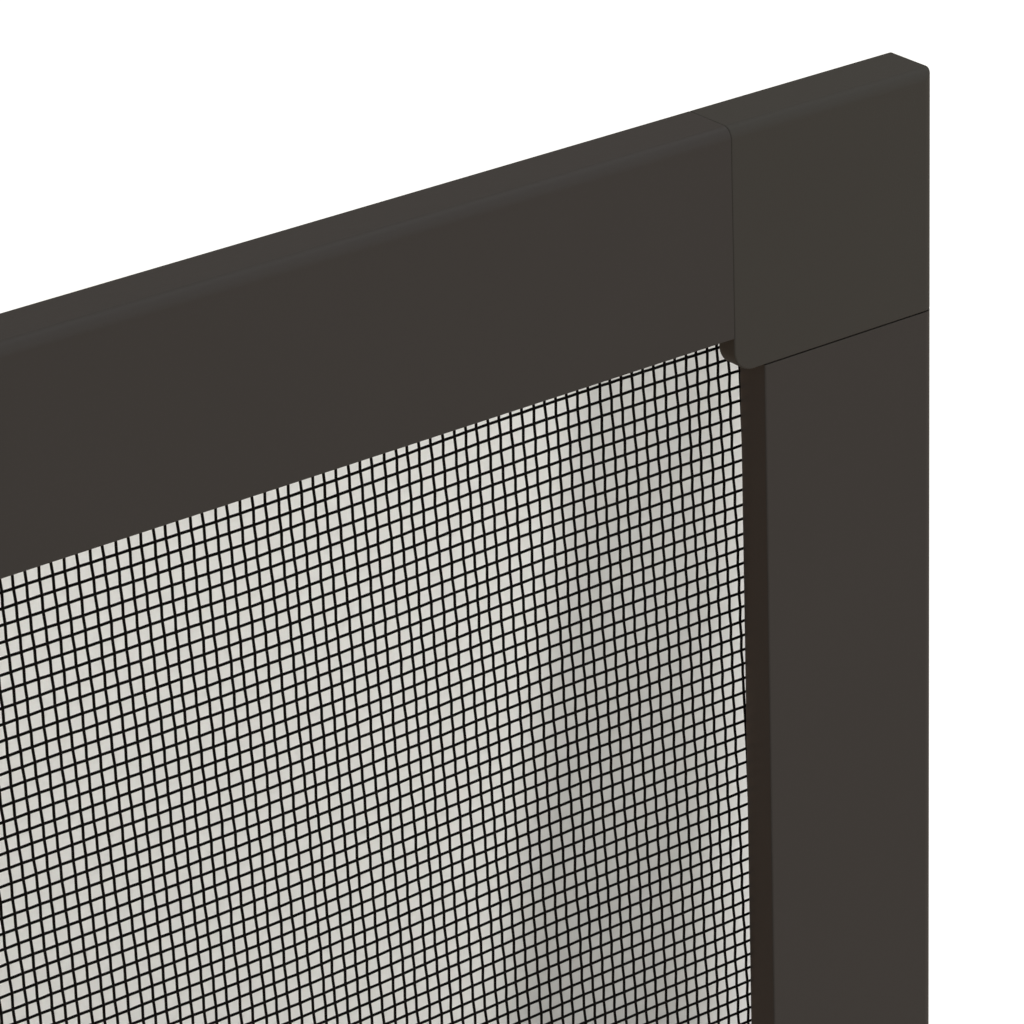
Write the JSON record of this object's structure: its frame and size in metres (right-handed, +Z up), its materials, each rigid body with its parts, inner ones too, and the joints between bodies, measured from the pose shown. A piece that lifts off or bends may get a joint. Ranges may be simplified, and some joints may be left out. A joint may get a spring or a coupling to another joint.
{
  "type": "window insect screen",
  "caption": "Flat framed insect screen for a window: slim coated profiles joined by square moulded corners, with a fine woven mesh held in a rear groove by a spline.",
  "frame": {"origin": "middle of the bottom edge, halfway through the frame's depth", "axes": "+X across the window to the right seen from the front, +Y from the front face to the back, +Z up"},
  "size_m": [0.5, 0.007, 0.6],
  "materials": {
    "frame_coating": "satin dark grey-brown powder coat on extruded aluminium",
    "corner_plastic": "matt moulded plastic in the frame's colour",
    "mesh_yarn": "black vinyl-coated glass yarn, plain weave",
    "spline_vinyl": "black soft vinyl cord"
  },
  "bodies": {
    "root": {"top_rail": "frame_coating", "bottom_rail": "frame_coating", "left_stile": "frame_coating", "right_stile": "frame_coating", "corner_top_right": "corner_plastic", "corner_top_left": "corner_plastic", "corner_bottom_right": "corner_plastic", "corner_bottom_left": "corner_plastic", "insect_mesh": "mesh_yarn", "spline_top": "spline_vinyl", "spline_bottom": "spline_vinyl", "spline_left": "spline_vinyl", "spline_right": "spline_vinyl"}
  },
  "joints": []
}
